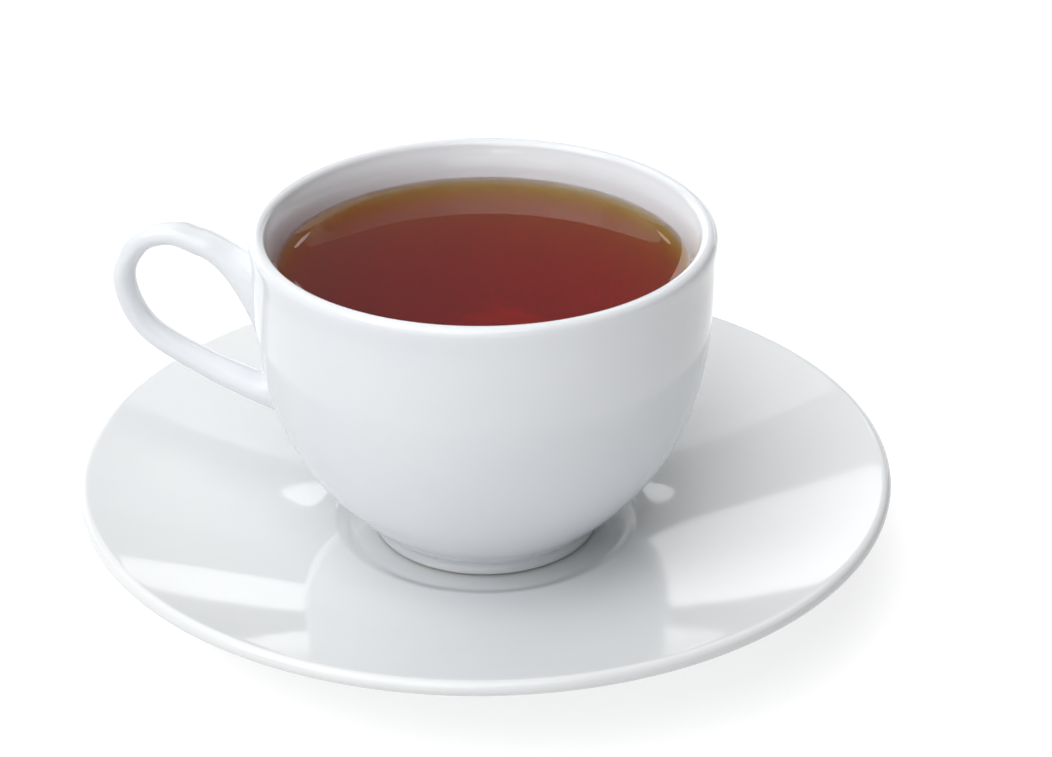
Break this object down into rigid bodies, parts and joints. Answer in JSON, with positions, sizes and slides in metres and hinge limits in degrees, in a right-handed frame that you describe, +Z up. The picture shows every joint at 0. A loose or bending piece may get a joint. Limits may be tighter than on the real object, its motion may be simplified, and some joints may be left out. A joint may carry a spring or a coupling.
{
  "type": "cup of black tea on a saucer",
  "caption": "White porcelain teacup with an ear-shaped handle, filled with black tea to just below its lip, standing on a round dished saucer.",
  "frame": {"origin": "on the table under the common axis of the saucer, the cup and the tea, at the bottom face of the saucer's foot ring", "axes": "+Z up along the axis of the turned pieces; the cup's handle points along -X, and its loop lies in the XZ plane"},
  "size_m": [0.158, 0.158, 0.0696],
  "materials": {
    "cup_porcelain": "smooth clear gloss glaze over white porcelain",
    "saucer_porcelain": "smooth clear gloss glaze over white porcelain",
    "black_tea": "still liquid surface, deep red-brown with an amber edge"
  },
  "bodies": {
    "root": {"cup": "cup_porcelain", "saucer": "saucer_porcelain", "tea": "black_tea"}
  },
  "joints": []
}
